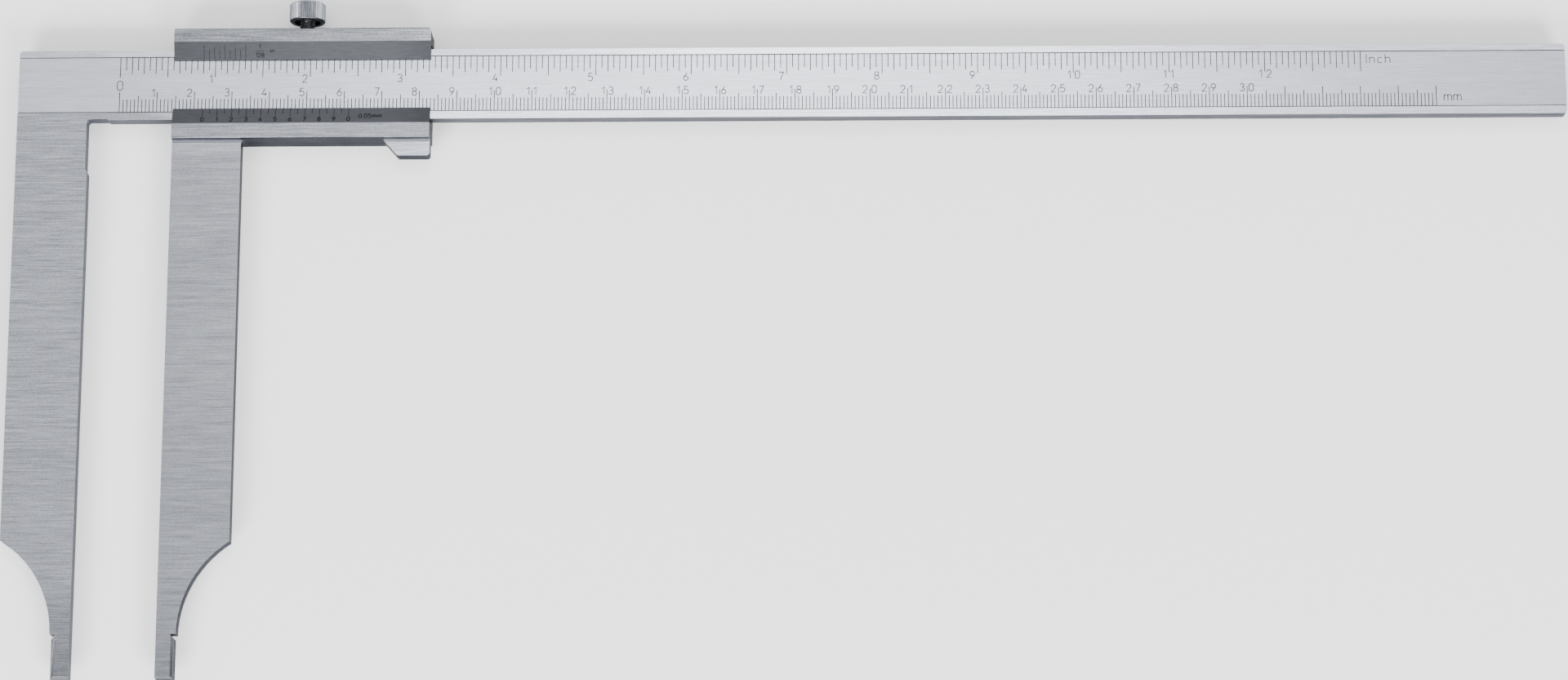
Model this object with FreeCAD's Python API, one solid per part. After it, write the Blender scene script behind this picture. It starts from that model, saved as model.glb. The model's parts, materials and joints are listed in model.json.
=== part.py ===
import FreeCAD, Part
import math
import os

from FreeCAD import Vector

# Workshop vernier caliper, millimetres. It lies on its back with the scales up (+Z).
# X runs along the beam, away from the fixed jaw; Y runs across it, away from the jaw tips.
# While modelling, X = 0 is the fixed measuring face, Y = 0 the beam's lower edge and Z = 0
# the slider's back. At the end all pieces move together to the centre of the footprint.

# Range and stored position
measuring_range = 300.0
range_overrun = 5.0            # reading past the range at which the slider meets its stop
rest_opening = 22.4            # distance between the measuring faces as stored
stop_gap = 0.3

# Beam
beam_height = 19.2
beam_thickness = 4.2
beam_end_distance = 16.3       # from the stop screw to the beam's free end
beam_corner_radius = 1.0
upper_edge_strip = 1.75        # bright strips beside the sunk scale band
lower_edge_strip = 2.04
scale_band_depth = 0.25

# Jaws, measured square to their measuring faces or down from the beam's lower edge
jaw_length = 150.0
fixed_jaw_width = 19.1
movable_jaw_width = 18.4
taper_radius = 29.1            # concave sweep from the full width down to the neck
neck_width = 5.2
tip_length = 11.6
tip_width = 5.0
tip_round_radius = 2.5         # round face for inside measuring
neck_notch_width = 3.6         # jaw left at the bottom of the notch above the tip
tip_bevel = 0.6

# Clearances cut at the root of the fixed jaw
face_relief_depth = 0.5
face_relief_length = 13.4
face_relief_ramp = 0.9
root_fillet = 0.9
edge_relief_depth = 0.3
edge_relief_length = 5.0

# Slider
slider_length = 68.6
back_wall = 3.35
lip_rise = 1.8                 # front of the rails above the beam's face
upper_rail_height = 5.6        # above the beam's upper edge
lower_rail_height = 5.5        # below the beam's lower edge
rail_step_height = 0.9         # slope from the slider's back to the jaw's back
lip_edge_thickness = 0.15
upper_lip_overlap = 2.8        # bevel's sharp edge, below the beam's upper edge
upper_bevel_start = 1.9        # bevel's outer edge, above the beam's upper edge
lower_lip_overlap = 3.0
lower_bevel_start = 1.5
slider_edge_radius = 0.3
slider_left_radius = 0.5
slider_right_radius = 1.0
notch_corner_radius = 1.2
thumb_rest_drop = 4.65         # below the slider's underside
thumb_rest_top_length = 12.6
thumb_rest_foot_length = 8.5
thumb_rest_radius = 0.8

# Running fits of the slider on the beam
face_clearance = 0.05
edge_clearance = 0.05

# Gib and its set screws
gib_thickness = 1.2
gib_beam_clearance = 0.05
gib_back_clearance = 0.15
gib_side_clearance = 0.1
gib_end_inset = 0.6
dimple_depth = 0.4
set_screw_diameter = 2.5
set_screw_setback = 12.0       # from each end of the slider
set_screw_recess = 0.3
set_screw_point_diameter = 1.5
set_screw_point_length = 0.9
set_screw_slot_width = 0.5
set_screw_slot_depth = 0.7
fixed_fit = 0.02               # radial gap of pieces that stay put in their holes

# Lock screw and pressure pad
lock_screw_setback = 35.1      # from the slider's left end
lock_screw_diameter = 4.0
lock_screw_clearance = 0.05
pad_thickness = 1.0
pad_gap = 0.25                 # pad above the gib while the lock is open
pad_socket_depth = 0.6
pad_end_clearance = 0.02
stud_point_diameter = 1.6
knob_diameter = 9.7
knob_height = 5.0
knob_lift = 2.6                # knob's underside above the slider
knob_cap = 1.2                 # knob left over the end of the stud
knob_chamfer = 0.4
knob_recess_diameter = 7.0
knob_recess_depth = 0.8
knurl_teeth = 54
knurl_depth = 0.22

# Stop screw in the back of the beam
stop_head_diameter = 4.4
stop_head_height = 1.2
stop_shank_diameter = 2.5
stop_shank_length = 2.4
stop_hole_depth = 2.7
stop_slot_width = 0.6
stop_slot_depth = 0.6

# Levels that follow from the sizes above
tip_y = -jaw_length
notch_y = tip_y + tip_length
beam_back = back_wall + face_clearance
beam_front = beam_back + beam_thickness
beam_middle = beam_back + beam_thickness / 2
slider_front = beam_front + lip_rise
slider_top = beam_height + upper_rail_height
slider_under = -lower_rail_height
slot_front = beam_front + face_clearance
gib_low = beam_height + gib_beam_clearance
gib_high = gib_low + gib_thickness
slot_high = gib_high + gib_back_clearance
slider_left = rest_opening
slider_right = slider_left + slider_length
stop_screw_x = measuring_range + range_overrun + slider_length + stop_gap + stop_head_diameter / 2
beam_free_length = stop_screw_x + beam_end_distance
lock_screw_x = slider_left + lock_screw_setback
pad_low = gib_high + pad_gap
pad_high = pad_low + pad_thickness
knob_low = slider_top + knob_lift
knob_high = knob_low + knob_height
cut_margin = 1.0               # how far cutters run past the faces they open


def flat_point(across, up):
    """Point of an outline drawn in the XY plane."""
    return Vector(across, up, 0)


def end_point(across, up):
    """Point of an outline drawn in the YZ plane."""
    return Vector(0, across, up)


def outline(corners, to_point=flat_point):
    """Face inside a closed outline. A corner is (a, b) or, with a rounding radius, (a, b, r)."""
    arcs = []
    for index, corner in enumerate(corners):
        here = to_point(corner[0], corner[1])
        radius = corner[2] if len(corner) > 2 else 0
        if radius == 0:
            arcs.append((here, None, here))
            continue
        before = to_point(*corners[index - 1][:2]) - here
        after = to_point(*corners[(index + 1) % len(corners)][:2]) - here
        before.normalize()
        after.normalize()
        half_angle = before.getAngle(after) / 2
        reach = radius / math.tan(half_angle)
        bisector = before + after
        bisector.normalize()
        middle = here + bisector * (radius / math.sin(half_angle) - radius)
        arcs.append((here + before * reach, middle, here + after * reach))
    edges = []
    for index, (start, middle, end) in enumerate(arcs):
        if middle is not None:
            edges.append(Part.Arc(start, middle, end).toShape())
        next_start = arcs[(index + 1) % len(arcs)][0]
        edges.append(Part.makeLine(end, next_start))
    return Part.Face(Part.Wire(edges))


def block(x_low, x_high, y_low, y_high, z_low, z_high):
    """Box between two corners."""
    return Part.makeBox(x_high - x_low, y_high - y_low, z_high - z_low, Vector(x_low, y_low, z_low))


def rod_along_y(diameter, x, z, y_low, y_high):
    """Cylinder parallel to Y."""
    return Part.makeCylinder(diameter / 2, y_high - y_low, Vector(x, y_low, z), Vector(0, 1, 0))


def jaw_cutter():
    """What is milled off a jaw with its measuring face at X = 0 and its body towards +X:
    the concave taper, the notch above the tip and the round inside-measuring face."""
    low = -cut_margin
    high = slider_front + cut_margin
    depth = high - low
    outside = max(fixed_jaw_width, movable_jaw_width) + cut_margin
    taper = Part.makeCylinder(taper_radius, depth, Vector(neck_width + taper_radius, notch_y, low))
    below_taper = block(tip_width, outside, tip_y - cut_margin, notch_y, low, high)
    notch_run = outside - neck_notch_width
    notch = outline([
        (neck_notch_width, notch_y),
        (neck_notch_width + notch_run, notch_y),
        (neck_notch_width + notch_run, notch_y - notch_run),
    ]).extrude(Vector(0, 0, depth))
    notch.translate(Vector(0, 0, low))
    round_centre = tip_width - tip_round_radius
    round_face = block(round_centre, outside, tip_y - cut_margin, notch_y, low, high)
    tip_rod = rod_along_y(2 * tip_round_radius, round_centre, beam_middle,
                          tip_y - 2 * cut_margin, notch_y + cut_margin)
    return taper.fuse([below_taper, notch, round_face.cut(tip_rod)])


def beam_and_fixed_jaw():
    """Beam and fixed jaw in one plate: front outline crossed with the end profile."""
    front = outline([
        (-fixed_jaw_width, tip_y),
        (0, tip_y),
        (0, -face_relief_length - face_relief_ramp),
        (-face_relief_depth, -face_relief_length),
        (-face_relief_depth, edge_relief_depth, root_fillet),
        (edge_relief_length, edge_relief_depth),
        (edge_relief_length + edge_relief_depth, 0),
        (beam_free_length, 0, beam_corner_radius),
        (beam_free_length, beam_height, beam_corner_radius),
        (-fixed_jaw_width, beam_height, beam_corner_radius),
    ])
    band_floor = beam_front - scale_band_depth
    end = outline([
        (tip_y, beam_back + tip_bevel),
        (tip_y + tip_bevel, beam_back),
        (beam_height, beam_back),
        (beam_height, beam_front),
        (beam_height - upper_edge_strip, beam_front),
        (beam_height - upper_edge_strip, band_floor),
        (lower_edge_strip, band_floor),
        (lower_edge_strip, beam_front),
        (tip_y + tip_bevel, beam_front),
        (tip_y, beam_front - tip_bevel),
    ], end_point)
    end.translate(Vector(-fixed_jaw_width - cut_margin, 0, 0))
    end_run = fixed_jaw_width + beam_free_length + 2 * cut_margin
    plate = front.extrude(Vector(0, 0, slider_front)).common(end.extrude(Vector(end_run, 0, 0)))
    jaw = jaw_cutter().mirror(Vector(0, 0, 0), Vector(1, 0, 0))
    stop_hole = Part.makeCylinder(stop_shank_diameter / 2 + fixed_fit, stop_hole_depth,
                                  Vector(stop_screw_x, beam_height / 2, beam_back))
    return plate.cut([jaw, stop_hole])


def slider_and_movable_jaw():
    """Slider, movable jaw and thumb rest in one piece, bored for the lock and set screws."""
    front = outline([
        (slider_left, tip_y),
        (slider_left + movable_jaw_width, tip_y),
        (slider_left + movable_jaw_width, slider_under, notch_corner_radius),
        (slider_right - thumb_rest_top_length, slider_under, thumb_rest_radius),
        (slider_right - thumb_rest_foot_length, slider_under - thumb_rest_drop, thumb_rest_radius),
        (slider_right, slider_under - thumb_rest_drop, thumb_rest_radius),
        (slider_right, slider_top, slider_right_radius),
        (slider_left, slider_top, slider_left_radius),
    ])
    step_foot = slider_under - rail_step_height
    upper_lip_y = beam_height - upper_lip_overlap
    lip_top = slot_front + lip_edge_thickness
    end = outline([
        (tip_y, beam_back + tip_bevel),
        (tip_y + tip_bevel, beam_back),
        (step_foot, beam_back),
        (slider_under, 0, slider_edge_radius),
        (slider_top, 0, slider_edge_radius),
        (slider_top, slider_front, slider_edge_radius),
        (beam_height + upper_bevel_start, slider_front),
        (upper_lip_y, lip_top),
        (upper_lip_y, slot_front),
        (slot_high, slot_front),
        (slot_high, back_wall),
        (-edge_clearance, back_wall),
        (-edge_clearance, slot_front),
        (lower_lip_overlap, slot_front),
        (lower_lip_overlap, lip_top),
        (-lower_bevel_start, slider_front),
        (slider_under, slider_front, slider_edge_radius),
        (slider_under, beam_front),
        (tip_y + tip_bevel, beam_front),
        (tip_y, beam_front - tip_bevel),
    ], end_point)
    end.translate(Vector(slider_left - cut_margin, 0, 0))
    end_run = slider_length + 2 * cut_margin
    body = front.extrude(Vector(0, 0, slider_front)).common(end.extrude(Vector(end_run, 0, 0)))
    jaw = jaw_cutter()
    jaw.translate(Vector(slider_left, 0, 0))
    bore_top = slider_top + cut_margin
    bore_low = slot_high - gib_back_clearance / 2
    lock_bore = rod_along_y(lock_screw_diameter + 2 * lock_screw_clearance, lock_screw_x,
                            beam_middle, bore_low, bore_top)
    set_bores = [
        rod_along_y(set_screw_diameter + 2 * fixed_fit, x, beam_middle, bore_low, bore_top)
        for x in set_screw_places()
    ]
    return body.cut([jaw, lock_bore] + set_bores)


def set_screw_places():
    """Where the two set screws stand along the slider."""
    return [slider_left + set_screw_setback, slider_right - set_screw_setback]


def gib_strip():
    """Bronze strip between the beam's upper edge and the slider, dimpled for the set screws."""
    strip = block(slider_left + gib_end_inset, slider_right - gib_end_inset, gib_low, gib_high,
                  back_wall + gib_side_clearance, slot_front - gib_side_clearance)
    dimples = [
        rod_along_y(set_screw_point_diameter + 2 * fixed_fit, x, beam_middle,
                    gib_high - dimple_depth, gib_high + cut_margin)
        for x in set_screw_places()
    ]
    return strip.cut(dimples)


def gib_set_screw(x):
    """Slotted set screw with a dog point that stands in the gib's dimple."""
    screw_high = slider_top - set_screw_recess
    point_low = gib_high - dimple_depth
    body_low = point_low + set_screw_point_length
    body = rod_along_y(set_screw_diameter, x, beam_middle, body_low, screw_high)
    point = rod_along_y(set_screw_point_diameter, x, beam_middle, point_low, body_low)
    slot = block(x - set_screw_diameter, x + set_screw_diameter,
                 screw_high - set_screw_slot_depth, screw_high + cut_margin,
                 beam_middle - set_screw_slot_width / 2, beam_middle + set_screw_slot_width / 2)
    return body.fuse(point).cut(slot)


def lock_pressure_pad():
    """Small brass disc between the lock screw and the gib, hung on the stud's point."""
    pad = rod_along_y(lock_screw_diameter, lock_screw_x, beam_middle, pad_low, pad_high)
    socket = rod_along_y(stud_point_diameter + 2 * lock_screw_clearance, lock_screw_x, beam_middle,
                         pad_high - pad_socket_depth, pad_high + cut_margin)
    return pad.cut(socket)


def lock_screw_stud():
    """Stud of the lock screw, from its point in the pad to its seat in the knob."""
    shoulder = pad_high + pad_end_clearance
    stud = rod_along_y(lock_screw_diameter, lock_screw_x, beam_middle, shoulder, knob_high - knob_cap)
    point = rod_along_y(stud_point_diameter, lock_screw_x, beam_middle,
                        shoulder - pad_socket_depth, shoulder)
    return stud.fuse(point)


def lock_screw_knob():
    """Straight-knurled knob, chamfered at both ends and recessed underneath."""
    radius = knob_diameter / 2
    ridges = []
    for index in range(2 * knurl_teeth):
        angle = math.pi * index / knurl_teeth
        reach = radius - knurl_depth * (index % 2)
        ridges.append((reach * math.cos(angle), reach * math.sin(angle)))
    knurl = outline(ridges).extrude(Vector(0, 0, knob_height))
    half_section = outline([
        (0, 0),
        (radius - knob_chamfer, 0),
        (radius, knob_chamfer),
        (radius, knob_height - knob_chamfer),
        (radius - knob_chamfer, knob_height),
        (0, knob_height),
    ], lambda across, up: Vector(across, 0, up))
    turned = half_section.revolve(Vector(0, 0, 0), Vector(0, 0, 1), 360)
    recess = Part.makeCylinder(knob_recess_diameter / 2, knob_recess_depth)
    bore = Part.makeCylinder(lock_screw_diameter / 2 + fixed_fit, knob_height - knob_cap)
    knob = turned.common(knurl).cut([recess, bore])
    knob.rotate(Vector(0, 0, 0), Vector(1, 0, 0), -90)
    knob.translate(Vector(lock_screw_x, knob_low, beam_middle))
    return knob


def beam_stop_screw():
    """Slotted cheese-head screw in the back of the beam, met by the slider's back wall."""
    centre = Vector(stop_screw_x, beam_height / 2, beam_back)
    down = Vector(0, 0, -1)
    head = Part.makeCylinder(stop_head_diameter / 2, stop_head_height, centre, down)
    shank = Part.makeCylinder(stop_shank_diameter / 2, stop_shank_length, centre, Vector(0, 0, 1))
    head_low = centre.z - stop_head_height
    slot = block(centre.x - stop_slot_width / 2, centre.x + stop_slot_width / 2,
                 centre.y - stop_head_diameter, centre.y + stop_head_diameter,
                 head_low - cut_margin, head_low + stop_slot_depth)
    return head.fuse(shank).cut(slot)


def main():
    left_screw_x, right_screw_x = set_screw_places()
    pieces = {
        "beam_and_fixed_jaw": beam_and_fixed_jaw(),
        "beam_stop_screw": beam_stop_screw(),
        "slider_and_movable_jaw": slider_and_movable_jaw(),
        "gib_strip": gib_strip(),
        "gib_set_screw_left": gib_set_screw(left_screw_x),
        "gib_set_screw_right": gib_set_screw(right_screw_x),
        "lock_pressure_pad": lock_pressure_pad(),
        "lock_screw_stud": lock_screw_stud(),
        "lock_screw_knob": lock_screw_knob(),
    }
    footprint_centre = Vector((beam_free_length - fixed_jaw_width) / 2, (tip_y + knob_high) / 2, 0)
    os.makedirs("parts", exist_ok=True)
    for name, shape in pieces.items():
        piece = shape.removeSplitter()
        piece.translate(-footprint_centre)
        piece.exportStep("parts/" + name + ".step")
        print(name, len(piece.Solids), piece.isValid(), round(piece.Volume, 2), piece.BoundBox)


main()
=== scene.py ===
# %% [markdown]
# # A workshop vernier caliper
#
# The part is a long-jawed vernier caliper: a flat steel beam with one jaw in a piece, and a
# slider with the other jaw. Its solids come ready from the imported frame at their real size.
# This notebook gives each of them its finish, and adds what an engraver, a thread cutter and
# a grinder leave on such a tool: graduations, numerals, a screw thread and machining grain.

# %% Load the frame
import json
import math
from collections import namedtuple

import bpy
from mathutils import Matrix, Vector


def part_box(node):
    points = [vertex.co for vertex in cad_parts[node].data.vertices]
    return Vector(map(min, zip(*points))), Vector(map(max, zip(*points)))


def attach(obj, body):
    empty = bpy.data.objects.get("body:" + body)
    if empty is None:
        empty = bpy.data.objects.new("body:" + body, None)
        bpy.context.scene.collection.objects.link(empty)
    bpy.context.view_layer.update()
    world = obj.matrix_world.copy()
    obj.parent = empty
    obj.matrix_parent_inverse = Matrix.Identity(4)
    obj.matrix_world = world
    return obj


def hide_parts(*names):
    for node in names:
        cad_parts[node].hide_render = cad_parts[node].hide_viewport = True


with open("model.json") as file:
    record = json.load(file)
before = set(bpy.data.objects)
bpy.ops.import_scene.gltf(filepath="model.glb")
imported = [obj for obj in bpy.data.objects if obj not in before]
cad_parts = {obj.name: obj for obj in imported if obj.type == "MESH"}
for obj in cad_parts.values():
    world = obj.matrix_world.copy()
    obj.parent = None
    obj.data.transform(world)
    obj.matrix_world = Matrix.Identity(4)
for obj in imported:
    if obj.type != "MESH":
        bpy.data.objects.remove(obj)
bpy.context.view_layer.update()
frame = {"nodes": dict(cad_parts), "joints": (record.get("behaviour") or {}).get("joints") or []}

print("nodes:", sorted(frame["nodes"]))

# %% [markdown]
# ## Landmarks
#
# Typed coordinates would be quick, but they go stale when the model is packed again. So
# everything is placed from the frame. The closed position of the slide joint tells where
# the fixed measuring face is: the slider's left end meets it there.

# %% Landmarks on the beam and the slider
MM = 0.001
beam_height = 19.2 * MM
band_depth = 0.25 * MM
beam_low, beam_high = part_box("beam_and_fixed_jaw")
slider_low, slider_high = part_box("slider_and_movable_jaw")
slide = next(joint for joint in frame["joints"] if joint["name"] == "slider_slide")
fixed_face_x = slider_low.x + slide["range_m"][0]
beam_edge_y = beam_high.y - beam_height
beam_face_z = beam_high.z
scale_band_z = beam_face_z - band_depth
tip_y = beam_low.y
print("jaws stand open by", round((slider_low.x - fixed_face_x) / MM, 2), "mm")

# %% [markdown]
# ## Camera
#
# The tool lies on its back and is seen almost square on, from a little towards the jaw tips,
# so that the undersides of the rails show. A short lens close by would bend the proportions
# of a tool this long. A long lens from over a metre away keeps the beam nearly parallel.

# %% Camera
camera_data = bpy.data.cameras.new("camera")
camera_data.sensor_width = 36.0
camera_data.lens = 100.94
camera_data.clip_start = 0.01
camera_data.clip_end = 20.0
camera = bpy.data.objects.new("camera", camera_data)
camera.location = (0.01918, -0.26462, 1.13013)
camera.rotation_euler = [math.radians(angle) for angle in (13.1616, 1.0556, 0.0068)]
bpy.context.scene.collection.objects.link(camera)
bpy.context.scene.camera = camera
print("camera stands", round(camera.location.z, 3), "m above the floor")

# %% [markdown]
# ## Node helpers
#
# Each finish below is a small node tree. Nodes can be wired by hand in the editor, but a
# script can be read and run again. These helpers only save typing: they make a node, do
# arithmetic, stretch a range of values onto another, blend two colours and make noise. The
# noise is measured in cells per metre, so that a scratch keeps its real size.

# %% Node helpers
class NodeTree:
    """Builds one procedural material around a Principled shader."""

    def __init__(self, name):
        self.material = bpy.data.materials.new(name)
        self.material.use_nodes = True
        self.tree = self.material.node_tree
        self.shader = self.tree.nodes["Principled BSDF"]

    def node(self, kind, settings=None, **inputs):
        """Makes a node and fills its sockets by name."""
        new = self.tree.nodes.new(kind)
        for name, value in (settings or {}).items():
            setattr(new, name, value)
        for name, value in inputs.items():
            self.feed(new.inputs[name.replace("_", " ")], value)
        return new

    def feed(self, socket, value):
        """Links another node's output to a socket, or sets a plain value on it."""
        if isinstance(value, bpy.types.NodeSocket):
            self.tree.links.new(value, socket)
        else:
            socket.default_value = value

    def math(self, operation, first, second=0.0, third=0.0):
        new = self.tree.nodes.new("ShaderNodeMath")
        new.operation = operation
        for socket, value in zip(new.inputs, (first, second, third)):
            self.feed(socket, value)
        return new.outputs[0]

    def remap(self, value, low, high, new_low, new_high):
        """Stretches low..high onto new_low..new_high, and holds its ends."""
        new = self.node("ShaderNodeMapRange", {"clamp": True})
        for socket, entry in zip(new.inputs, (value, low, high, new_low, new_high)):
            self.feed(socket, entry)
        return new.outputs["Result"]

    def mix(self, mask, first, second):
        new = self.node("ShaderNodeMix", {"data_type": "RGBA"})
        self.feed(new.inputs["Factor"], mask)
        self.feed(new.inputs["A"], first)
        self.feed(new.inputs["B"], second)
        return new.outputs["Result"]

    def noise(self, stretch, detail=4.0, roughness=0.55):
        """Noise whose cells are 1/stretch metres long on each axis."""
        place = self.node("ShaderNodeTexCoord").outputs["Object"]
        mapped = self.node("ShaderNodeMapping", Vector=place, Scale=stretch)
        texture = self.node("ShaderNodeTexNoise", Vector=mapped.outputs["Vector"],
                            Scale=1.0, Detail=detail, Roughness=roughness)
        return texture.outputs["Fac"]


print("helpers ready")

# %% [markdown]
# ## Telling surfaces apart
#
# One solid carries several surfaces: broad ground faces, narrow sides, bevels and a sunk
# band. Each could be picked by hand and given its own material. That has to be done again
# after each change of the solid, so here the shader asks each point where it lies and which
# way its face looks. The answers are masks of zero or one. A direction is given by its share
# along each axis, from minus one to one.

# %% Masks
broad_share, chamfer_share, downward_share = 0.75, 0.6, -0.5


def facing(tree):
    """Direction a face looks in, as three values, before any bump."""
    normal = tree.node("ShaderNodeNewGeometry").outputs["True Normal"]
    return tree.node("ShaderNodeSeparateXYZ", Vector=normal).outputs


def place_on(tree):
    """Where a point lies, as three values in metres."""
    place = tree.node("ShaderNodeTexCoord").outputs["Object"]
    return tree.node("ShaderNodeSeparateXYZ", Vector=place).outputs


def above(tree, value, limit):
    return tree.math("GREATER_THAN", value, limit)


def below(tree, value, limit):
    return tree.math("LESS_THAN", value, limit)


def both(tree, first, second):
    """Product: two masks at once, or a tone times a mask."""
    return tree.math("MULTIPLY", first, second)


def choose(tree, mask, tone_off, tone_on):
    """One of two values, by a mask of 0 or 1."""
    chosen = tree.node("ShaderNodeMix", {"data_type": "FLOAT"},
                       Factor=mask, A=tone_off, B=tone_on)
    return chosen.outputs["Result"]


def broad_face(tree):
    """Marks the ground front and back, and the end chamfers of the tips with them."""
    face = facing(tree)
    outward = tree.math("ABSOLUTE", face["Z"])
    end_chamfer = both(tree, above(tree, outward, chamfer_share),
                       below(tree, face["Y"], downward_share))
    return tree.math("MAXIMUM", above(tree, outward, broad_share), end_chamfer)


print("masks ready")

# %% [markdown]
# ## Ground steel
#
# The flat sides of the tool are ground on a belt, and the belt leaves long fine lines along
# the beam and across the jaws. An image of brushed metal would repeat and would blur in
# close views, so noise makes the lines. Two noises are stretched along the beam: a fine one
# for the single scratches and a coarser one for the passes of the belt. An even one adds
# pits, and a broad one keeps large faces from looking sprayed. Together they move the
# brightness, and the scratches also raise a small bump that breaks up reflections. On faces
# that look along the beam the lines run the other way, as measuring faces are ground
# lengthwise.

# %% Grain of ground steel
noise_low, noise_high = 0.3, 0.7
scratch_cells = (110.0, 3800.0, 3800.0)
end_scratch_cells = (3800.0, 110.0, 3800.0)
pass_cells = (22.0, 1300.0, 1300.0)
pit_cells = (2600.0, 2600.0, 2600.0)
cloud_cells = (18.0, 45.0, 45.0)
pass_share, pit_share, cloud_swing = 0.35, 0.45, 0.04
lengthwise_share = 0.7


def swing(tree, noise, amount):
    """Brightness that moves up and down around 1 with a noise."""
    return tree.remap(noise, noise_low, noise_high, 1 - amount, 1 + amount)


def belt_grain(tree, strength):
    """Brightness of the belt's lines around 1, and the scratches themselves from 0 to 1."""
    scratches = tree.noise(scratch_cells, detail=3.0, roughness=0.6)
    passes = tree.noise(pass_cells, detail=2.0, roughness=0.5)
    pits = tree.noise(pit_cells, detail=1.0)
    end_scratches = tree.noise(end_scratch_cells, detail=3.0)
    clouds = tree.noise(cloud_cells, detail=2.0)
    looks_along = above(tree, tree.math("ABSOLUTE", facing(tree)["X"]), lengthwise_share)
    lines = tree.mix(looks_along, scratches, end_scratches)
    belt = both(tree, swing(tree, lines, strength), swing(tree, passes, strength * pass_share))
    surface = both(tree, swing(tree, clouds, cloud_swing), swing(tree, pits, strength * pit_share))
    return both(tree, belt, surface), lines


def stronger(tree, grain, factor):
    """The same grain, its swings around 1 made larger or smaller."""
    return tree.math("ADD", 1.0, both(tree, factor, tree.math("SUBTRACT", grain, 1.0)))


print("grain with", round(scratch_cells[1] * MM, 1), "scratches to the millimetre")

# %% [markdown]
# ## Bare steel
#
# Bare steel has no paint, so its colour is only the colour of its reflections. One could
# mix a Glossy shader by hand, but the Principled shader with Metallic at one does the same
# and exports well. Every metal here reaches it the same way: a tone, which says how bright
# the surface is, times the grain, times a slightly cool tint. A smooth metal turns to a
# mirror when seen at a grazing angle. Ground steel doesn't, as its lines stop the light, so
# the tint of grazing reflections is lowered.

# %% Finish of a bare steel
cool_tint = (0.95, 0.99, 1.1)
grazing_tint = (0.36, 0.36, 0.37, 1.0)
scratch_depth = 0.02 * MM
darkened_length = 28 * MM


def finish_steel(tree, tone, brightness, lines, roughness, bump=0.25, tint=cool_tint):
    """Connects tone, grain and bump to the shader of a bare steel."""
    level = both(tree, tone, brightness)
    colour = tree.node("ShaderNodeVectorMath", {"operation": "SCALE"}, Scale=level)
    colour.inputs[0].default_value = tint
    relief = tree.node("ShaderNodeBump", Strength=bump, Distance=scratch_depth, Height=lines)
    tree.feed(tree.shader.inputs["Base Color"], colour.outputs["Vector"])
    tree.feed(tree.shader.inputs["Roughness"], roughness)
    tree.feed(tree.shader.inputs["Normal"], relief.outputs["Normal"])
    tree.shader.inputs["Metallic"].default_value = 1.0
    tree.shader.inputs["Specular Tint"].default_value = grazing_tint
    return tree.material


def worn_tips(tree, tone, at_tip):
    """Darkens the last centimetres of the jaws, towards their tips."""
    down_jaw = tree.remap(place_on(tree)["Y"], tip_y, tip_y + darkened_length, at_tip, 1.0)
    return both(tree, tone, down_jaw)


print("jaws darken over the last", round(darkened_length / MM), "mm")

# %% [markdown]
# ## Beam finish
#
# The beam has four surfaces. The sunk scale band is blasted and satin, so that it doesn't
# glare when read. The two strips beside it are the slider's track. They are lapped, and a
# painted highlight brightens them along the beam: less by the jaw and towards the free end.
# The jaw is belt-ground, and on the lower strip its grinding runs on for a few centimetres.
# The narrow sides are painted dark as shade. A painted map would hold all this too, but only
# at one resolution. Here the places tell the surfaces apart: the band lies a quarter of a
# millimetre lower, and the strips lie beside it.

# %% Polish and painted highlight of the slider's track
def along_beam(tree, start, end, tone_at_start, tone_at_end):
    """A tone that changes between two distances from the fixed face, in millimetres."""
    return tree.remap(place_on(tree)["X"], fixed_face_x + start * MM, fixed_face_x + end * MM,
                      tone_at_start, tone_at_end)


def track_polish(tree, upper_strip):
    # Painted highlight: the strips' brightness along the beam stands in for light, on top of their lapping.
    by_jaw = along_beam(tree, -10, 30, 0.48, 0.6)
    mid_beam_highlight = along_beam(tree, 40, 165, 0.2, 0.97)
    lower_strip = along_beam(tree, 14, 54, 0.3, 0.77)
    free_end = along_beam(tree, 200, 310, 0.97, 0.62)
    strip_brightness = choose(tree, upper_strip, lower_strip, tree.math("MAXIMUM", by_jaw, mid_beam_highlight))
    return tree.math("MINIMUM", strip_brightness, free_end)


print("track is brightest from 165 to 200 mm")

# %% Beam steel
beam_grain, calm_grain, track_calm = 0.34, 0.4, 0.6
# Painted shade: the beam's narrow sides take a tone far below its faces.
jaw_tone, band_tone, beam_side_shade_tone, beam_tip_shade = 0.295, 0.51, 0.2, 0.55
ground_roughness, band_roughness = 0.36, 0.3
band_mid_z = (beam_face_z + scale_band_z) / 2
upper_strip_y = beam_edge_y + 17.0 * MM


def beam_steel():
    tree = NodeTree("satin_beam_steel")
    coarse, lines = belt_grain(tree, beam_grain)
    spot = place_on(tree)
    raised = above(tree, spot["Z"], band_mid_z)
    on_front = above(tree, spot["Z"], scale_band_z - 0.05 * MM)
    band = both(tree, on_front, tree.math("SUBTRACT", 1.0, raised))
    upper_strip = above(tree, spot["Y"], upper_strip_y)
    past_face = above(tree, spot["X"], fixed_face_x)
    on_beam = both(tree, past_face, above(tree, spot["Y"], beam_edge_y - 0.2 * MM))
    track = both(tree, raised, tree.math("MAXIMUM", upper_strip, on_beam))
    ground_or_band = choose(tree, band, jaw_tone, band_tone)
    front = choose(tree, track, ground_or_band, track_polish(tree, upper_strip))
    face_tone = worn_tips(tree, front, beam_tip_shade)
    tone = choose(tree, broad_face(tree), beam_side_shade_tone, face_tone)
    smooth = tree.math("MAXIMUM", band, both(tree, track, track_calm))
    grain = stronger(tree, coarse, choose(tree, smooth, 1.0, calm_grain))
    roughness = choose(tree, band, ground_roughness, band_roughness)
    return finish_steel(tree, tone, grain, lines, roughness)


satin_beam_steel = beam_steel()
print("beam finish:", satin_beam_steel.name)
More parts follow.
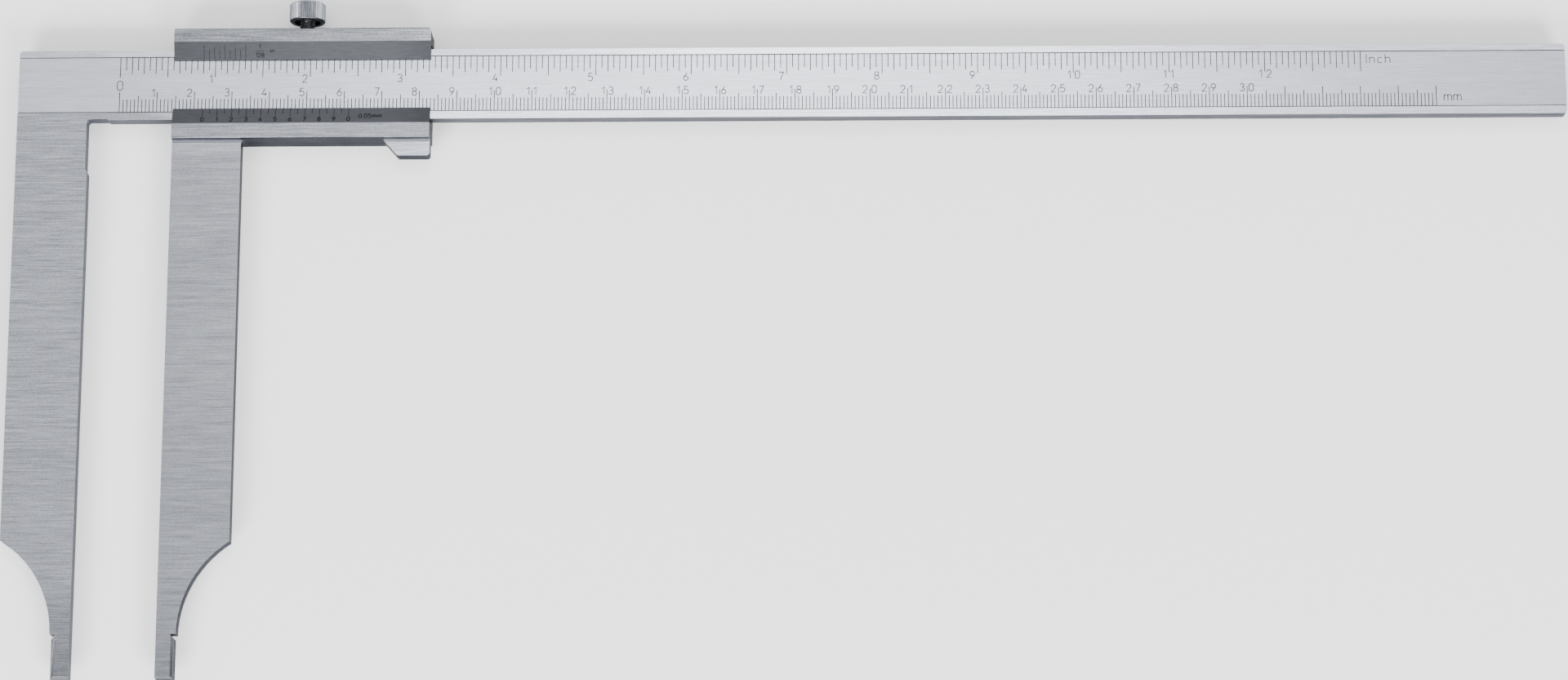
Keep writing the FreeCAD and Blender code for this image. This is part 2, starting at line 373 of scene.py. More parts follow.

# %% [markdown]
# ## Slider finish
#
# The slider is ground like the jaws. Its two bevels, where the verniers are engraved, are
# blasted dark so that the eye finds the lines, and they shade off towards the slider's ends.
# They are the only faces that lean by about twenty degrees, so the shader finds them by
# their slope instead of by hand. Below the rails the steel is a little lighter, and a
# painted highlight brightens the upper rail at its right end.

# %% Tones of the slider's faces
rail_foot_depth = 5.5
rail_foot_y = beam_edge_y - rail_foot_depth * MM
lower_rail_y = beam_edge_y - 5.6 * MM
upper_rail_y = beam_edge_y + 15 * MM
jaw_end_x = slider_low.x + 18.4 * MM
rest_start_x = slider_high.x - 12.0 * MM
upper_bevel_tone, lower_bevel_tone = 0.091, 0.11
# Painted shade: the slider's narrow sides take a tone far below its faces.
slider_side_shade_tone, foot_tone = 0.095, 0.26
slider_jaw_tone, lower_rail_tone = 0.265, 0.247


def bevel_tone(tree, face, spot):
    """Blasted dark, and darker still at both ends."""
    upper = below(tree, face["Y"], 0.0)
    left_shade = tree.remap(spot["X"], slider_low.x, slider_low.x + 38 * MM,
                            choose(tree, upper, 0.88, 0.74), 1.0)
    right_shade = tree.remap(spot["X"], slider_high.x - 10 * MM, slider_high.x, 1.0, 0.78)
    shade = tree.math("MINIMUM", left_shade, right_shade)
    return both(tree, choose(tree, upper, lower_bevel_tone, upper_bevel_tone), shade)


def side_tone(tree, face, spot, over_rest):
    """Painted shade darkens the sides, but not the foot of the lower rail above the jaw and the thumb rest.
    """
    over_jaw = below(tree, spot["X"], jaw_end_x)
    rail_foot = both(tree, above(tree, spot["Z"], beam_face_z),
                     below(tree, face["Y"], downward_share))
    foot = both(tree, rail_foot, tree.math("MAXIMUM", over_jaw, over_rest))
    return choose(tree, foot, slider_side_shade_tone, foot_tone)


def ground_tone(tree, spot, rail, upper_rail, over_rest):
    """Ground jaw and rails, lighter below the rail, with a painted highlight at the upper rail's right end.
    """
    near_rail = tree.remap(spot["Y"], beam_edge_y - 11.0 * MM, lower_rail_y, 0.0, 0.4)
    lighter = tree.math("MAXIMUM", near_rail, both(tree, over_rest, 0.65))
    below_rail = both(tree, lighter, below(tree, spot["Y"], rail_foot_y))
    upper_tone = tree.remap(spot["X"], slider_low.x, slider_low.x + 40 * MM, 0.194, 0.232)
    rail_tone = choose(tree, upper_rail, lower_rail_tone, upper_tone)
    base = choose(tree, rail, slider_jaw_tone, rail_tone)
    # Painted highlight at the upper rail's right end.
    end_highlight = tree.remap(spot["X"], slider_high.x - 6 * MM, slider_high.x - 1 * MM, 0.0, 0.25)
    lift_and_highlight = tree.math("MAXIMUM", below_rail, both(tree, upper_rail, end_highlight))
    return both(tree, base, tree.math("ADD", 1.0, lift_and_highlight))


print("jaw is", round((jaw_end_x - slider_low.x) / MM, 1), "mm wide at the rail")

# %% Slider steel
slider_grain, slider_tip_shade = 0.28, 0.76
lower_rail_grain, upper_rail_grain = 1.2, 1.55
flattest_bevel, steepest_bevel = 0.97, 0.9
blast_cells, blast_swing = (300.0, 1800.0, 1800.0), 0.1
slider_roughness, bevel_roughness = 0.34, 0.5


def slider_steel():
    tree = NodeTree("ground_slider_steel")
    coarse, lines = belt_grain(tree, slider_grain)
    face = facing(tree)
    spot = place_on(tree)
    leans = both(tree, above(tree, face["Z"], steepest_bevel),
                 below(tree, face["Z"], flattest_bevel))
    rail = above(tree, spot["Y"], lower_rail_y)
    upper_rail = above(tree, spot["Y"], upper_rail_y)
    over_rest = above(tree, spot["X"], rest_start_x)
    ground = ground_tone(tree, spot, rail, upper_rail, over_rest)
    front = choose(tree, leans, ground, bevel_tone(tree, face, spot))
    face_tone = worn_tips(tree, front, slider_tip_shade)
    tone = choose(tree, broad_face(tree), side_tone(tree, face, spot, over_rest), face_tone)
    rail_grain = choose(tree, upper_rail, lower_rail_grain, upper_rail_grain)
    ground_grain = choose(tree, rail, coarse, stronger(tree, coarse, rail_grain))
    blasted = swing(tree, tree.noise(blast_cells, detail=4.0), blast_swing)
    grain = choose(tree, leans, ground_grain, blasted)
    roughness = choose(tree, leans, slider_roughness, bevel_roughness)
    return finish_steel(tree, tone, grain, lines, roughness)


ground_slider_steel = slider_steel()
print("slider finish:", ground_slider_steel.name)

# %% [markdown]
# ## Plain metals
#
# The stud, the small screws, the gib and the pad are turned or rolled pieces. They could
# share one material with an attribute for the colour, but separate materials are easier to
# find and change. They share one recipe with other numbers: a tint, a tone, a roughness and
# fine lines. The polished edge is the bright rim that hands leave on every corner, and its
# bright tone also paints a highlight along each edge.

# %% Small metals
lines_dark, lines_bright = 0.82, 1.16
roughness_swing = 0.06


def plain_metal(name, tint, tone, roughness, lines_per_metre, bump=0.2):
    tree = NodeTree(name)
    lines = tree.noise((lines_per_metre, lines_per_metre, lines_per_metre), detail=4.0)
    brightness = tree.remap(lines, noise_low, noise_high, lines_dark, lines_bright)
    rough = tree.remap(lines, noise_low, noise_high,
                       roughness - roughness_swing, roughness + roughness_swing)
    return finish_steel(tree, tone, brightness, lines, rough, bump, tint)


# The stud's tone is kept low as painted shade, as it stands under the knob.
stud_steel = plain_metal("turned_stud_steel", (0.96, 0.99, 1.07), 0.18, 0.36, 2500.0)
# Painted highlight along the edges, on top of their rubbed polish.
polished_edge_and_highlight = plain_metal("polished_edge_and_highlight", (0.96, 0.99, 1.07), 0.6, 0.3, 1500.0)
dark_steel = plain_metal("darkened_steel", (0.98, 1.0, 1.03), 0.14, 0.38, 2000.0)
gib_bronze = plain_metal("rolled_bronze", (1.15, 0.86, 0.5), 0.45, 0.34, 2500.0)
pad_brass = plain_metal("turned_brass", (1.12, 0.92, 0.5), 0.6, 0.26, 4000.0)
print("small metals ready")

# %% [markdown]
# ## Knurled knob
#
# Thumbs polish the crests of the knurl, some teeth more than others, and painted shade
# darkens its grooves and the recess. Cavity shaders and baked shade can find grooves, but they
# don't survive every export. Crest and groove differ only in their distance from the
# screw's axis, so the tone follows that distance. The same distance draws the rings that a
# lathe tool leaves on the outer end.

# %% Place on the knob
knob_low, knob_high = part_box("lock_screw_knob")
knob_radius = (knob_high.x - knob_low.x) / 2
knob_axis_x = (knob_low.x + knob_high.x) / 2
knob_axis_z = (knob_low.z + knob_high.z) / 2


def from_knob_axis(tree):
    """Distance of a point from the screw's axis, in metres."""
    spot = place_on(tree)
    across = tree.math("SUBTRACT", spot["X"], knob_axis_x)
    upward = tree.math("SUBTRACT", spot["Z"], knob_axis_z)
    squares = tree.math("ADD", both(tree, across, across), both(tree, upward, upward))
    return tree.math("SQRT", squares)


print("knob is", round(2 * knob_radius / MM, 1), "mm across")

# %% Knob steel
groove_depth, crest_depth = 0.24 * MM, 0.03 * MM
groove_shade_tone, crest_tone = 0.11, 0.58
recess_shade_tone, outer_end_tone = 0.14, 0.34
least_wear, most_wear = 0.66, 1.42
knob_end_share = 0.6
wear_cells = (1300.0, 90.0, 1300.0)
knurl_cells = (900.0, 6000.0, 900.0)
ring_waves = 34000.0


def knob_steel():
    tree = NodeTree("knurled_steel")
    distance = from_knob_axis(tree)
    # Painted shade: the grooves and the recess are darker than the polished crests.
    crest = tree.remap(distance, knob_radius - groove_depth, knob_radius - crest_depth,
                       groove_shade_tone, crest_tone)
    wear = tree.remap(tree.noise(wear_cells, detail=2.0), 0.32, 0.68, least_wear, most_wear)
    endward = facing(tree)["Y"]
    inner_end = below(tree, endward, -knob_end_share)
    outer_end = above(tree, endward, knob_end_share)
    around = choose(tree, inner_end, both(tree, crest, wear), recess_shade_tone)
    tone = choose(tree, outer_end, around, outer_end_tone)
    scratches = tree.noise(knurl_cells, detail=3.0)
    wave = tree.math("SINE", both(tree, distance, ring_waves))
    rings = tree.remap(wave, -1.0, 1.0, noise_low, noise_high)
    turned_end = tree.math("ADD", both(tree, rings, 0.5), both(tree, scratches, 0.5))
    turning_marks = choose(tree, outer_end, scratches, turned_end)
    brightness = swing(tree, turning_marks, 0.2)
    rough = tree.remap(turning_marks, noise_low, noise_high, 0.26, 0.4)
    return finish_steel(tree, tone, brightness, turning_marks, rough)


knurled_steel = knob_steel()
print("knob finish:", knurled_steel.name, "with a ring each", round(2 * math.pi / ring_waves / MM, 2), "mm")

# %% [markdown]
# ## Dressing the solids
#
# A solid straight from CAD has razor edges, which no ground tool has. A Bevel node in the
# material can fake a soft edge, but the exported mesh would stay sharp. So a Weld joins the
# triangles that the file format splits, and a Bevel of a tenth of a millimetre then breaks
# every real corner. The bevel's own faces take a second material, a polished edge, because
# hands and paper rub the edges brightest; its bright tone is also a painted highlight.
# Neither step moves a surface.

# %% Finish and edge of each solid
def dress(node, material, edge_width=0.0, edge_material=None):
    """Gives a solid its finish and, where a width is given, its broken edges."""
    solid = frame["nodes"][node]
    solid.data.materials.clear()
    solid.data.materials.append(material)
    if not edge_width:
        return
    solid.data.materials.append(edge_material or material)
    weld = solid.modifiers.new("weld", "WELD")
    weld.merge_threshold = 0.002 * MM
    bevel = solid.modifiers.new("edge_break", "BEVEL")
    bevel.width = edge_width
    bevel.segments = 2
    bevel.limit_method = "ANGLE"
    bevel.angle_limit = math.radians(28)
    bevel.harden_normals = True
    bevel.material = 1
    print(node, "edge broken by", round(edge_width / MM, 2), "mm")


dress("beam_and_fixed_jaw", satin_beam_steel, 0.12 * MM, polished_edge_and_highlight)
dress("slider_and_movable_jaw", ground_slider_steel, 0.12 * MM, polished_edge_and_highlight)
dress("lock_screw_knob", knurled_steel)
dress("lock_screw_stud", stud_steel)
dress("lock_pressure_pad", pad_brass)
dress("gib_strip", gib_bronze, 0.1 * MM)
for small_screw in ("gib_set_screw_left", "gib_set_screw_right", "beam_stop_screw"):
    dress(small_screw, dark_steel, 0.06 * MM)

# %% [markdown]
# ## Thread of the lock screw
#
# The CAD stud is a smooth bar, which is all a collision needs. Between the slider and the
# knob its thread shows. A Screw modifier could wind a profile, but its ends stay open. Here
# the surface is a grid of rings, and each point's radius follows the thread's triangle wave,
# shifted once around per turn. The outside stays as thick as the CAD bar.

# %% Radius of the threaded stud
stud_low, stud_high = (Vector(corner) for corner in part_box("lock_screw_stud"))
stud_middle = (stud_low + stud_high) / 2
major_radius = (stud_high.x - stud_low.x) / 2
thread_pitch = 0.7 * MM
thread_depth = 0.38 * MM
point_length = 0.6 * MM
flank_slope, crest_flat = 1.25, 0.15


def stud_radius(y, turn):
    """Radius at a height and a share of a turn: a wave with flat crests and roots."""
    wave = abs(((y - stud_low.y) / thread_pitch - turn) % 1.0 - 0.5) * 2
    radius = major_radius - thread_depth * min(1.0, max(0.0, flank_slope * wave - crest_flat))
    to_end = min(y - stud_low.y, stud_high.y - y)
    cone = major_radius - max(0.0, point_length - to_end)
    return min(radius, cone)


print("thread of", round((stud_high.y - stud_low.y) / thread_pitch, 1), "turns")

# %% Threaded stud
ring_points = 40
ring_step = thread_pitch / 8
stud_points = []
stud_faces = []
ring_count = int((stud_high.y - stud_low.y) / ring_step) + 1
for ring in range(ring_count + 1):
    y = min(stud_low.y + ring * ring_step, stud_high.y)
    for corner in range(ring_points):
        turn = corner / ring_points
        radius = stud_radius(y, turn)
        angle = turn * 2 * math.pi
        stud_points.append((stud_middle.x + radius * math.cos(angle), y,
                            stud_middle.z + radius * math.sin(angle)))
for ring in range(ring_count):
    for corner in range(ring_points):
        here = ring * ring_points + corner
        there = ring * ring_points + (corner + 1) % ring_points
        stud_faces.append((here, here + ring_points, there + ring_points, there))
last_ring = ring_count * ring_points
stud_faces.append(tuple(range(ring_points)))
stud_faces.append(tuple(range(last_ring + ring_points - 1, last_ring - 1, -1)))
stud_mesh = bpy.data.meshes.new("threaded_stud")
stud_mesh.from_pydata(stud_points, [], stud_faces)
stud_mesh.materials.append(stud_steel)
threaded_stud = bpy.data.objects.new("threaded_stud", stud_mesh)
bpy.context.scene.collection.objects.link(threaded_stud)
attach(threaded_stud, "lock_screw")
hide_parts("lock_screw_stud")
print("threaded stud has", len(stud_faces), "faces")

# %% [markdown]
# ## Engraving
#
# The scales are cut by a fine rotary cutter and filled with black, so every line and numeral
# is one stroke of constant width. A font object would give outlined letters with thick and
# thin parts, and an image would blur in close views. Here each stroke is a list of points on
# a plate, a flat place given by its corner and its two directions. A helper turns the stroke
# into a thin closed strip of mesh that stands a hundredth of a millimetre proud.

# %% Plates and strips
Plate = namedtuple("Plate", "corner along up")
east, north = Vector((1, 0, 0)), Vector((0, 1, 0))
stands_proud, reaches_in = 0.01, 0.03
same_spot = 1e-6
mitre_limit = 2.0


class Engraver:
    """Collects strokes, in millimetres on a plate, and turns them into one mesh."""

    def __init__(self, plate, line_width):
        self.plate = plate
        self.line_width = line_width
        self.points = []
        self.faces = []

    def section(self, spot, side):
        """Four corners of the strip at one point of a stroke."""
        out = self.plate.along.cross(self.plate.up)
        middle = self.plate.corner + (self.plate.along * spot.x + self.plate.up * spot.y) * MM
        reach = (self.plate.along * side.x + self.plate.up * side.y) * MM
        top = out * stands_proud * MM
        bottom = out * -reaches_in * MM
        first = len(self.points)
        self.points += [middle - reach + top, middle + reach + top,
                        middle + reach + bottom, middle - reach + bottom]
        return first

    def stroke(self, points, width=None):
        """One line with mitred corners; it is a ring where its last point is its first."""
        spots = [Vector(point).to_2d() for point in points]
        ring = (spots[0] - spots[-1]).length < same_spot
        if ring:
            spots.pop()
        half = (width or self.line_width) / 2
        sections = []
        for index, spot in enumerate(spots):
            before = spots[index - 1] if index or ring else None
            after = spots[(index + 1) % len(spots)] if index + 1 < len(spots) or ring else None
            arriving = (spot - before).normalized() if before is not None else None
            leaving = (after - spot).normalized() if after is not None else arriving
            arriving = arriving or leaving
            heading = (arriving + leaving).normalized()
            side = Vector((heading.y, -heading.x))
            stretch = 1 / max(1 / mitre_limit, heading.dot(leaving))
            sections.append(self.section(spot, side * half * stretch))
        pairs = list(zip(sections, sections[1:] + sections[:1]))
        if not ring:
            pairs.pop()
            start, end = sections[0], sections[-1]
            self.faces.append([start + corner for corner in (3, 2, 1, 0)])
            self.faces.append([end + corner for corner in (0, 1, 2, 3)])
        for here, there in pairs:
            for corner in range(4):
                other = (corner + 1) % 4
                self.faces.append([here + corner, here + other, there + other, there + corner])

    def finish(self, name, body, material):
        """Makes the mesh, and lets it ride on its body."""
        mesh = bpy.data.meshes.new(name)
        mesh.from_pydata(self.points, [], self.faces)
        mesh.materials.append(material)
        piece = bpy.data.objects.new(name, mesh)
        bpy.context.scene.collection.objects.link(piece)
        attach(piece, body)
        print(name, "has", len(self.faces), "faces")


print("strips stand", stands_proud, "mm proud")

# %% [markdown]
# ## Numerals
#
# The numerals are of the plain drawing-office kind: round bowls, a straight diagonal in six
# and nine, and an open four. No font has just this form with a single stroke, so each is
# described in a box one unit high with its foot at zero, and the engraver scales it. Bowls
# are parts of ellipses.

# %% Stroke shapes
arc_step = 18


def arc(centre, radius, start, end):
    """Points along part of an ellipse, from one angle in degrees to another."""
    steps = max(2, round(abs(end - start) / arc_step))
    angles = [math.radians(start + (end - start) * step / steps) for step in range(steps + 1)]
    return [(centre[0] + radius[0] * math.cos(angle), centre[1] + radius[1] * math.sin(angle))
            for angle in angles]


def turned(strokes, width):
    """The same strokes upside down, as nine is six."""
    return [[(width - x, 1 - y) for x, y in stroke] for stroke in strokes]


six = [[(0.43, 1.0), (0.035, 0.42)], arc((0.28, 0.285), (0.28, 0.285), 150, 510)]
oval = arc((0.28, 0.7), (0.28, 0.3), 0, 180) + arc((0.28, 0.3), (0.28, 0.3), 180, 360)
arch = arc((0.27, 0.4), (0.27, 0.26), 180, 0)
three = arc((0.27, 0.76), (0.24, 0.24), 155, -90) + arc((0.27, 0.27), (0.28, 0.26), 82, -155)
five = [(0.5, 1.0), (0.08, 1.0), (0.05, 0.55)] + arc((0.27, 0.32), (0.28, 0.32), 125, -150)
upper_bowl = arc((0.28, 0.76), (0.235, 0.24), 90, 450)
lower_bowl = arc((0.28, 0.265), (0.28, 0.265), 90, 450)
stem = [(0.0, 0.0), (0.0, 0.66)]
glyphs = {
    "0": (0.56, [oval + oval[:1]]),
    "1": (0.27, [[(0.0, 0.72), (0.27, 1.0), (0.27, 0.0)]]),
    "2": (0.56, [arc((0.28, 0.71), (0.27, 0.29), 175, -28) + [(0.0, 0.0), (0.56, 0.0)]]),
    "3": (0.56, [three]),
    "4": (0.56, [[(0.34, 1.0), (0.0, 0.27), (0.56, 0.27)], [(0.41, 0.55), (0.41, 0.0)]]),
    "5": (0.56, [five]),
    "6": (0.56, six),
    "7": (0.56, [[(0.0, 1.0), (0.56, 1.0), (0.18, 0.0)]]),
    "8": (0.56, [upper_bowl, lower_bowl]),
    "9": (0.56, turned(six, 0.56)),
    "I": (0.0, [[(0.0, 0.0), (0.0, 1.0)]]),
    "n": (0.54, [stem, arch + [(0.54, 0.0)]]),
    "h": (0.54, [[(0.0, 0.0), (0.0, 1.0)], arch + [(0.54, 0.0)]]),
    "m": (0.8, [stem, arc((0.2, 0.44), (0.2, 0.22), 180, 0) + [(0.4, 0.0)],
                arc((0.6, 0.44), (0.2, 0.22), 180, 0) + [(0.8, 0.0)]]),
    "c": (0.5, [arc((0.28, 0.33), (0.28, 0.33), 45, 315)]),
    "i": (0.0, [stem, [(0.0, 0.86), (0.0, 1.0)]]),
    ".": (0.0, [[(0.0, -0.06), (0.0, 0.1)]]),
}
print("shapes for", "".join(glyphs))

# %% Words
def word_width(text, height, gap, widen=1.0):
    widths = [glyphs[letter][0] * height * widen for letter in text]
    return sum(widths) + gap * (len(text) - 1)


def write(engraver, text, left, foot, height, gap=0.0, widen=1.0, width=None):
    """Engraves a word whose strokes start at left and stand on foot."""
    for letter in text:
        reach, strokes = glyphs[letter]
        for stroke in strokes:
            engraver.stroke([(left + x * height * widen, foot + y * height) for x, y in stroke],
                            width)
        left += reach * height * widen + gap


def split_numeral(engraver, number, place, foot, height, before=0.75, after=0.48):
    """Writes the first digit left of a scale line and the second digit right of it."""
    text = str(number)
    write(engraver, text[0], place - before - word_width(text[0], height, 0), foot, height)
    write(engraver, text[1:], place + after, foot, height)


print("a numeral 2.1 mm high is", round(word_width("0", 2.1, 0), 2), "mm wide")

# %% [markdown]
# ## Filled grooves
#
# Engraved lines hold a black filling that has dulled and lost specks. A cut groove with
# paint at its bottom would be true, but too fine to render well. The strips are plain dark
# instead, and a fine noise varies them as wear does.

# %% Filling of the engraved lines
fill_tint = (0.96, 0.99, 1.05)
speck_cells = (4000.0, 4000.0, 4000.0)
speck_swing = 0.3


def filled_groove(name, tone, roughness):
    tree = NodeTree(name)
    specks = swing(tree, tree.noise(speck_cells, detail=2.0), speck_swing)
    level = both(tree, tone, specks)
    colour = tree.node("ShaderNodeVectorMath", {"operation": "SCALE"}, Scale=level)
    colour.inputs[0].default_value = fill_tint
    tree.feed(tree.shader.inputs["Base Color"], colour.outputs["Vector"])
    tree.shader.inputs["Roughness"].default_value = roughness
    tree.shader.inputs["Specular IOR Level"].default_value = 0.25
    return tree.material


scale_fill = filled_groove("dark_scale_fill", 0.03, 0.65)
vernier_fill = filled_groove("black_vernier_fill", 0.01, 0.6)
print("fillings:", scale_fill.name, vernier_fill.name)

# %% [markdown]
# ## Millimetre scale
#
# Millimetres stand on the lower border line. Zero lies eight millimetres beyond the fixed
# measuring face, and the verniers are set back by as much. An Array modifier could repeat a
# line, but not vary its length, so a loop draws the lines: longer ones mark fives and tens.
# A numeral stands left of its line, and a second numeral stands right of it, so that the
# line parts them.

# %% Millimetre scale
zero_setback = 8.0
metric_foot = 2.04
metric_lengths = ((10, 5.75), (5, 4.7), (1, 3.75))
last_millimetre = 350
last_numeral = 30
beam_plate = Plate(Vector((fixed_face_x + zero_setback * MM, beam_edge_y, scale_band_z)),
                   east, north)
beam_marks = Engraver(beam_plate, line_width=0.23)


def line_length(index, lengths):
    """Length of a scale line: the first in the table whose step divides its number."""
    return next(length for step, length in lengths if index % step == 0)


for millimetre in range(last_millimetre + 1):
    head = metric_foot + line_length(millimetre, metric_lengths)
    beam_marks.stroke([(millimetre, metric_foot), (millimetre, head)])
for centimetre in range(1, last_numeral + 1):
    split_numeral(beam_marks, centimetre, centimetre * 10, foot=6.5, height=2.1)
write(beam_marks, "0", left=-0.73, foot=8.3, height=2.6)
write(beam_marks, "mm", left=last_millimetre + 2.05, foot=3.65, height=2.5, gap=0.5)
print("millimetre scale to", last_millimetre)

# %% [markdown]
# ## Inch scale and border lines
#
# Inches are split into sixteenths and hang from the upper border line, in the same way. The
# two border lines run along the whole band. They are part of the same mesh, because they
# are cut in one go with the scales and share their filling.

# %% Inch scale and border lines
inch = 25.4
sixteenths = 16
last_inch = 13
inch_foot = 17.45
inch_lengths = ((8, 5.6), (2, 4.6), (1, 3.7))
border_inset = 0.2
for sixteenth in range(last_inch * sixteenths + 1):
    place = sixteenth * inch / sixteenths
    foot = inch_foot - line_length(sixteenth, inch_lengths)
    beam_marks.stroke([(place, foot), (place, inch_foot)])
for number in range(1, last_inch):
    split_numeral(beam_marks, number, number * inch, foot=10.27, height=2.12, before=0.85)
write(beam_marks, "Inch", left=last_inch * inch + 1.6, foot=14.15, height=2.35, gap=0.85)
left_end = (beam_low.x - beam_plate.corner.x) / MM + border_inset
right_end = (beam_high.x - beam_plate.corner.x) / MM - border_inset
for border_y, border_width in ((metric_foot + 0.1, 0.34), (inch_foot - 0.05, 0.26)):
    beam_marks.stroke([(left_end, border_y), (right_end, border_y)], border_width)
beam_marks.finish("scale_lines", "beam", scale_fill)

# %% [markdown]
# ## Vernier plates
#
# Both verniers lie on bevels that fall to the beam, so that a line on the bevel meets its
# line on the beam without a gap. The lines could be projected onto the bevels with a
# Shrinkwrap. A bevel is flat, though, so a plate laid at its slope gives the same at once.

# %% Vernier plates
rail_top, lip_top = 9.4, 7.8
bevel_rise = (rail_top - lip_top) * MM
lip_z = beam_face_z + 0.2 * MM
vernier_zero_x = slider_low.x + zero_setback * MM
lower_slope = Vector((0, -4.5 * MM, bevel_rise))
upper_slope = Vector((0, 4.7 * MM, bevel_rise))
lower_length = lower_slope.length / MM
lower_plate = Plate(Vector((vernier_zero_x, beam_edge_y + 3.0 * MM, lip_z)) + lower_slope,
                    east, -lower_slope.normalized())
upper_plate = Plate(Vector((vernier_zero_x, beam_edge_y + 16.4 * MM, lip_z)),
                    east, upper_slope.normalized())
print("bevel lengths in mm:", round(lower_length, 2), round(upper_slope.length / MM, 2))

# %% [markdown]
# ## Lower vernier
#
# It splits a millimetre into twenty parts over thirty-nine millimetres. Its lines hang from
# the bevel's edge, and small bold digits stand under every second one. The same engraver
# draws them as on the beam, so that both scales look cut by one machine.

# %% Lower vernier
lower_parts, lower_span = 20, 39
lower_lengths = ((2, 2.6), (1, 1.85))
edge_gap = 0.05
digit_height, digit_widen = 1.25, 1.05
lower_marks = Engraver(lower_plate, line_width=0.18)
for part in range(lower_parts + 1):
    place = part * lower_span / lower_parts
    foot = lower_length - line_length(part, lower_lengths)
    lower_marks.stroke([(place, foot), (place, lower_length - edge_gap)])
for digit in range(11):
    label = str(digit % 10)
    left = digit * 3.9 - word_width(label, digit_height, 0, digit_widen) / 2
    write(lower_marks, label, left, foot=lower_length - 4.2, height=digit_height,
          widen=digit_widen, width=0.32)
write(lower_marks, "0.05mm", left=lower_span + 2.77, foot=1.57, height=1.25, gap=0.4,
      widen=0.97, width=0.29)
lower_marks.finish("lower_vernier_lines", "slider", vernier_fill)

# %% [markdown]
# ## Upper vernier
#
# It splits a sixteenth of an inch into eight parts over seven sixteenths. No digits stand at
# its lines. The resolution beside them is written as a fraction, with its bar as a stroke.

# %% Upper vernier
upper_parts, spanned_sixteenths = 8, 7
upper_lengths = ((4, 4.07), (2, 3.5), (1, 2.7))
upper_marks = Engraver(upper_plate, line_width=0.16)
for part in range(upper_parts + 1):
    place = part * spanned_sixteenths * inch / sixteenths / upper_parts
    upper_marks.stroke([(place, edge_gap), (place, line_length(part, upper_lengths))])
last_line = spanned_sixteenths * inch / sixteenths
write(upper_marks, "1", left=last_line + 3.6, foot=3.04, height=1.09, width=0.26)
upper_marks.stroke([(last_line + 2.67, 2.4), (last_line + 4.9, 2.4)], width=0.13)
write(upper_marks, "128", left=last_line + 2.75, foot=0.74, height=1.13, gap=0.28, width=0.25)
write(upper_marks, "in", left=last_line + 6.65, foot=2.0, height=0.95, gap=0.38, widen=1.15,
      width=0.26)
upper_marks.finish("upper_vernier_lines", "slider", vernier_fill)

# %% [markdown]
# ## Shadow line of the grinding ledge
#
# The jaw and the thumb rest are ground after the rail is milled, and the wheel stops a little
# short of the rail's foot. That leaves a narrow ledge, whose step casts a fine dark line along
# it. The ledge is only some hundredths of a millimetre high. Cutting it into the mesh would
# show nothing but this line, so the line is drawn as a painted shadow and the step isn't.

# %% Ledge lines
ledge_height = 0.72
line_y = -rail_foot_depth - ledge_height
slider_length = (slider_high.x - slider_low.x) / MM
ledge_plate = Plate(Vector((slider_low.x, beam_edge_y, beam_face_z)), east, north)
ledge = Engraver(ledge_plate, line_width=0.2)
for start, end in ((0.15, 18.25), (slider_length - 11.8, slider_length - 0.2)):
    ledge.stroke([(start, line_y), (end, line_y)])
# The ledge's shadow is painted as a dark strip, made with the groove filling's recipe.
grinding_shadow = filled_groove("grinding_shadow", 0.06, 0.5)
ledge.finish("ledge_shadow_lines", "slider", grinding_shadow)

# %% [markdown]
# ## Floor
#
# The tool lies on a plain pale floor, as for a catalogue. A floor that only reflects would
# need lamps so strong that they wash out the steel, so this one also glows a little.

# %% Floor
half_floor = 2.5
floor_z = -0.02 * MM
floor_mesh = bpy.data.meshes.new("floor")
floor_mesh.from_pydata([(-half_floor, -half_floor, floor_z), (half_floor, -half_floor, floor_z),
                        (half_floor, half_floor, floor_z), (-half_floor, half_floor, floor_z)],
                       [], [(0, 1, 2, 3)])
floor = bpy.data.objects.new("floor", floor_mesh)
floor_tree = NodeTree("pale_floor")
floor_tree.shader.inputs["Base Color"].default_value = (0.92, 0.92, 0.92, 1.0)
floor_tree.shader.inputs["Roughness"].default_value = 0.9
floor_tree.shader.inputs["Specular IOR Level"].default_value = 0.1
floor_tree.shader.inputs["Emission Color"].default_value = (1.0, 1.0, 1.0, 1.0)
floor_tree.shader.inputs["Emission Strength"].default_value = 0.35
floor_mesh.materials.append(floor_tree.material)
bpy.context.scene.collection.objects.link(floor)
print("floor is", 2 * half_floor, "m square")

# %% [markdown]
# ## Lamps
#
# Two wide soft lamps stand at the front, left and right. They brighten the floor, and catch
# the broken edges, the undersides and the knob. A small lamp over the beam lifts its middle.
# Sun lamps would be simpler, but their hard shadows would hide the undersides.

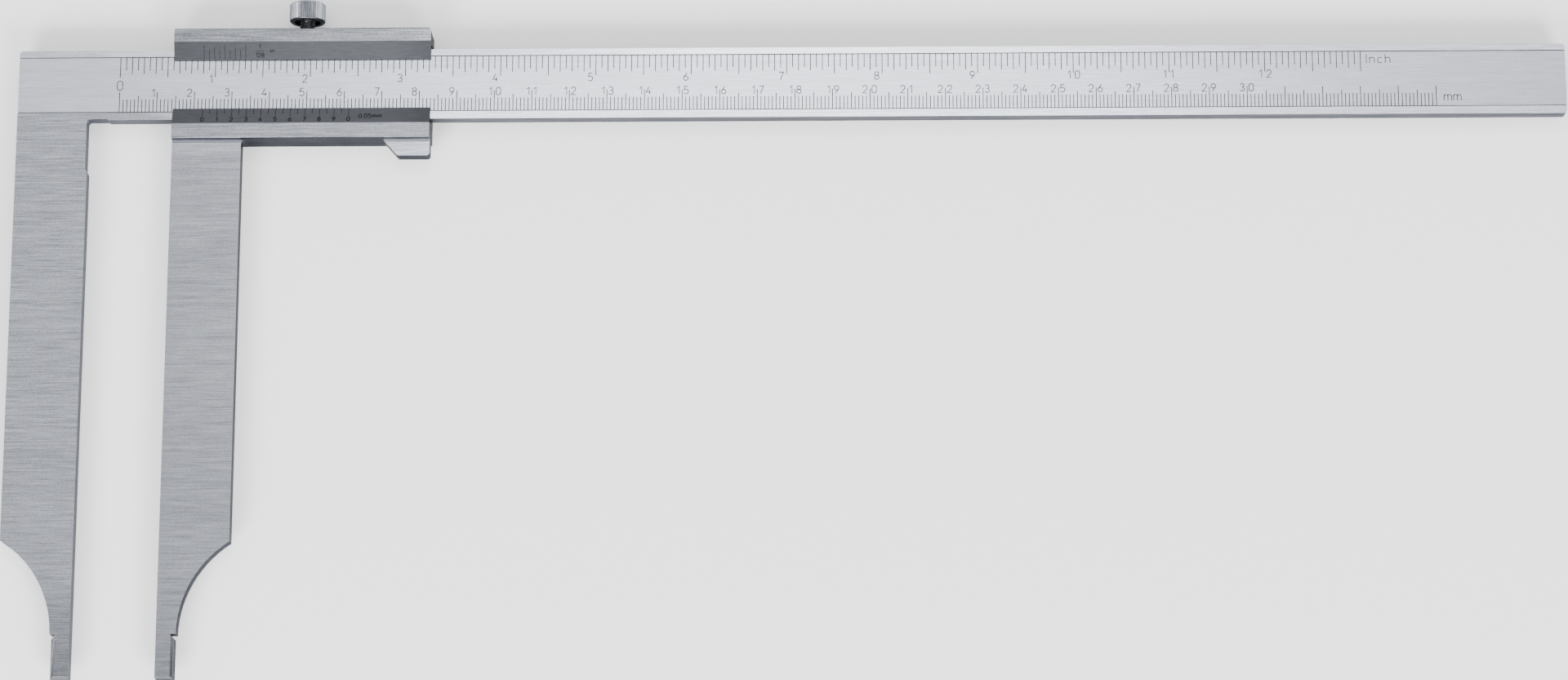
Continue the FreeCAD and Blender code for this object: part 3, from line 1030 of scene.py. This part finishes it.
# %% Lamps
def soft_lamp(name, place, target, size, watts):
    """A rectangle of light at a place, turned to a target."""
    data = bpy.data.lights.new(name, "AREA")
    data.shape = "RECTANGLE"
    data.size, data.size_y = size
    data.energy = watts
    lamp = bpy.data.objects.new(name, data)
    lamp.location = place
    lamp.rotation_euler = (Vector(target) - Vector(place)).to_track_quat("-Z", "Y").to_euler()
    bpy.context.scene.collection.objects.link(lamp)
    print(name, "gives", watts, "W")


soft_lamp("front_left", (-0.9, -1.7, 1.2), (0.0, 0.0, 0.0), size=(1.0, 0.9), watts=66.0)
soft_lamp("front_right", (0.9, -1.7, 1.2), (0.0, 0.0, 0.0), size=(1.0, 0.9), watts=66.0)
soft_lamp("over_beam", (-0.02, 0.44, 1.25), (-0.02, 0.07, 0.0), size=(0.4, 0.5), watts=3.1)

# %% [markdown]
# ## Sky
#
# Flat steel shows what lies in its mirror direction, so the tone of the broad faces comes
# mostly from the sky. An even sky would make them lifeless, and an image of a studio would
# have to be shipped along. This sky is brightest in one direction and slopes down from it.

# %% Sky
brightest_direction = Vector((0.09, 0.26, 0.96)).normalized()
sky_strength = 1.66
world = bpy.data.worlds.new("studio")
world.use_nodes = True
sky = world.node_tree
direction = sky.nodes.new("ShaderNodeTexCoord").outputs["Generated"]
towards_light = sky.nodes.new("ShaderNodeVectorMath")
towards_light.operation = "DOT_PRODUCT"
towards_light.inputs[1].default_value = brightest_direction
sky.links.new(towards_light.inputs[0], direction)
ramp = sky.nodes.new("ShaderNodeValToRGB")
sky.links.new(ramp.inputs["Fac"], towards_light.outputs["Value"])
steps = ramp.color_ramp.elements
steps[0].position = 0.1
steps[0].color = (0.19, 0.195, 0.2, 1.0)
steps[1].position = 1.0
steps[1].color = (1.0, 1.0, 1.0, 1.0)
for place, level in ((0.8, 0.74), (0.95, 0.89)):
    steps.new(place).color = (level * 0.98, level * 0.99, level, 1.0)
background = sky.nodes["Background"]
sky.links.new(background.inputs["Color"], ramp.outputs["Color"])
background.inputs["Strength"].default_value = sky_strength
bpy.context.scene.world = world
print("sky has", len(steps), "levels")
